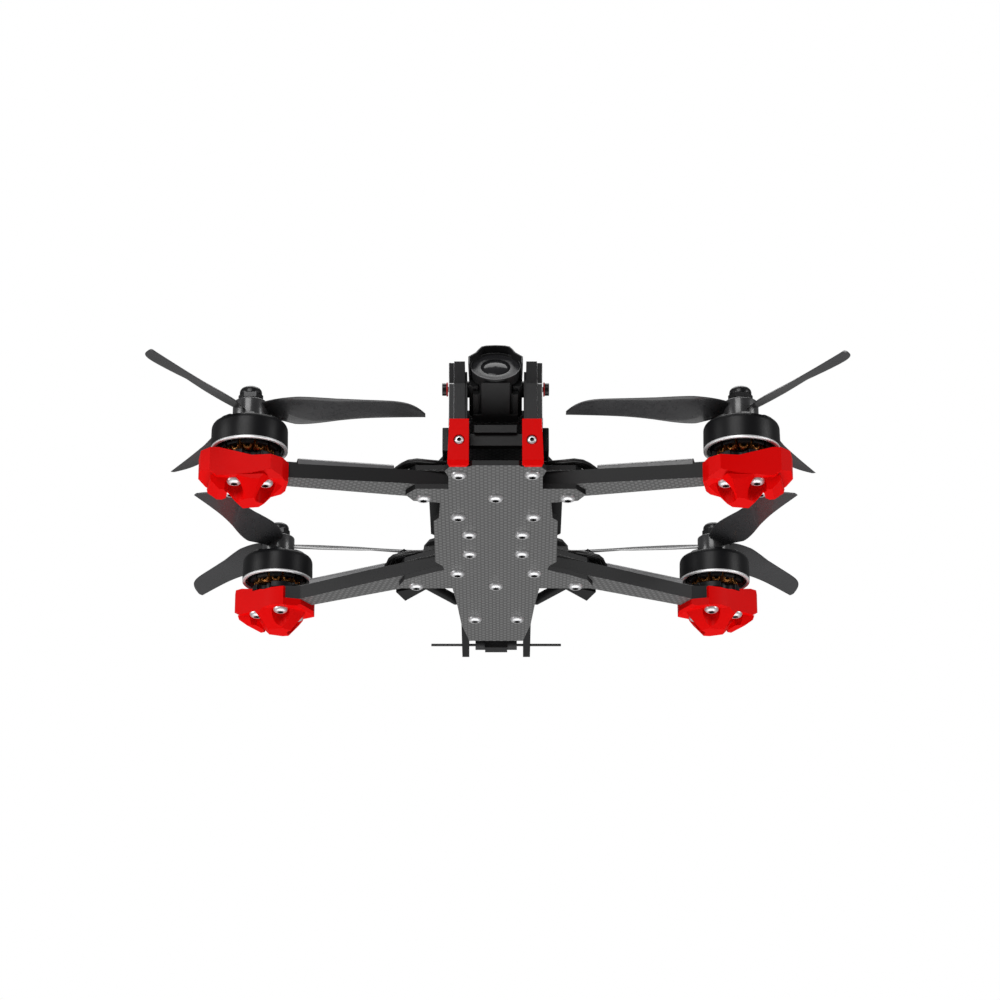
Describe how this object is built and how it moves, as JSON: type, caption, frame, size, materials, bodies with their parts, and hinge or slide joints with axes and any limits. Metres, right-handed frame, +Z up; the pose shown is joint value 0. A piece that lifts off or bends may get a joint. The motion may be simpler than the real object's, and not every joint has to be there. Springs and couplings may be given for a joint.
{
  "type": "quadcopter",
  "caption": "Small racing quadcopter with a carbon frame, tilting nose camera, spinning three-blade propellers and red guards with feet under the motors.",
  "frame": {"origin": "bottom centre of the bounding box: on the ground under the mid-plane, midway between the front and rear motor shafts", "axes": "+X to the craft's left-hand-side motors seen from the nose, that is towards the right of a viewer facing the nose; +Y towards the tail; +Z up; the nose points along -Y"},
  "size_m": [0.2522, 0.2516, 0.0575],
  "materials": {
    "carbon": "woven carbon fibre, satin",
    "red_tpu": "flexible printed plastic, satin",
    "black_anodised": "anodised, satin",
    "copper": "enamelled copper windings",
    "blade": "moulded polycarbonate",
    "steel": "polished",
    "black_steel": "black oxide",
    "moulded_black": "moulded, satin",
    "grey_plastic": "satin",
    "lens_glass": "coated",
    "wire": "silicone insulation",
    "washer_red": "satin",
    "circuit_board": "solder mask",
    "rubber_pad": "matt",
    "connector": "moulded nylon"
  },
  "bodies": {
    "airframe": {"belly_plate": "carbon", "mid_plate": "carbon", "top_plate": "carbon", "tail_rails": "carbon", "arm_front_left": "carbon", "arm_guard_front_left": "red_tpu", "motor_base_front_left": "black_anodised", "stator_front_left": "copper", "arm_front_right": "carbon", "arm_guard_front_right": "red_tpu", "motor_base_front_right": "black_anodised", "stator_front_right": "copper", "arm_rear_left": "carbon", "arm_guard_rear_left": "red_tpu", "motor_base_rear_left": "black_anodised", "stator_rear_left": "copper", "arm_rear_right": "carbon", "arm_guard_rear_right": "red_tpu", "motor_base_rear_right": "black_anodised", "stator_rear_right": "copper", "camera_cheek_left": "moulded_black", "camera_side_plate_left": "black_anodised", "front_bumper_left": "red_tpu", "side_panel_left": "moulded_black", "rear_fairing_left": "moulded_black", "camera_cheek_right": "moulded_black", "camera_side_plate_right": "black_anodised", "front_bumper_right": "red_tpu", "side_panel_right": "moulded_black", "rear_fairing_right": "moulded_black", "wire_covers": "grey_plastic", "motor_wires": "wire", "motor_screws": "steel", "frame_screws": "steel", "lock_nuts": "black_steel", "standoffs": "black_anodised", "nose_bulkhead": "moulded_black", "speed_controller": "circuit_board", "flight_controller": "circuit_board", "video_transmitter": "black_anodised", "antenna_holder": "moulded_black", "receiver_antenna": "wire", "battery_pad": "rubber_pad", "battery_connector": "connector"},
    "rotor_front_left": {"motor_bell_front_left": "black_anodised", "propeller_front_left": "blade", "prop_nut_front_left": "black_steel"},
    "rotor_front_right": {"motor_bell_front_right": "black_anodised", "propeller_front_right": "blade", "prop_nut_front_right": "black_steel"},
    "rotor_rear_left": {"motor_bell_rear_left": "black_anodised", "propeller_rear_left": "blade", "prop_nut_rear_left": "black_steel"},
    "rotor_rear_right": {"motor_bell_rear_right": "black_anodised", "propeller_rear_right": "blade", "prop_nut_rear_right": "black_steel"},
    "camera": {"camera_housing": "moulded_black", "camera_lens": "lens_glass", "tilt_screws": "black_steel", "tilt_washers": "washer_red"}
  },
  "joints": [
    {"name": "spin_front_left", "type": "hinge", "parent": "airframe", "child": "rotor_front_left", "pos_m": [-0.09, -0.0678, 0.0158], "axis": [0, 0, -1], "continuous": true},
    {"name": "spin_front_right", "type": "hinge", "parent": "airframe", "child": "rotor_front_right", "pos_m": [0.09, -0.0678, 0.0158], "axis": [0, 0, 1], "continuous": true},
    {"name": "spin_rear_left", "type": "hinge", "parent": "airframe", "child": "rotor_rear_left", "pos_m": [-0.088, 0.0678, 0.0158], "axis": [0, 0, 1], "continuous": true},
    {"name": "spin_rear_right", "type": "hinge", "parent": "airframe", "child": "rotor_rear_right", "pos_m": [0.088, 0.0678, 0.0158], "axis": [0, 0, -1], "continuous": true},
    {"name": "camera_tilt", "type": "hinge", "parent": "airframe", "child": "camera", "pos_m": [0, -0.077, 0.0416], "axis": [-1, 0, 0], "range_deg": [-34, 16]}
  ]
}
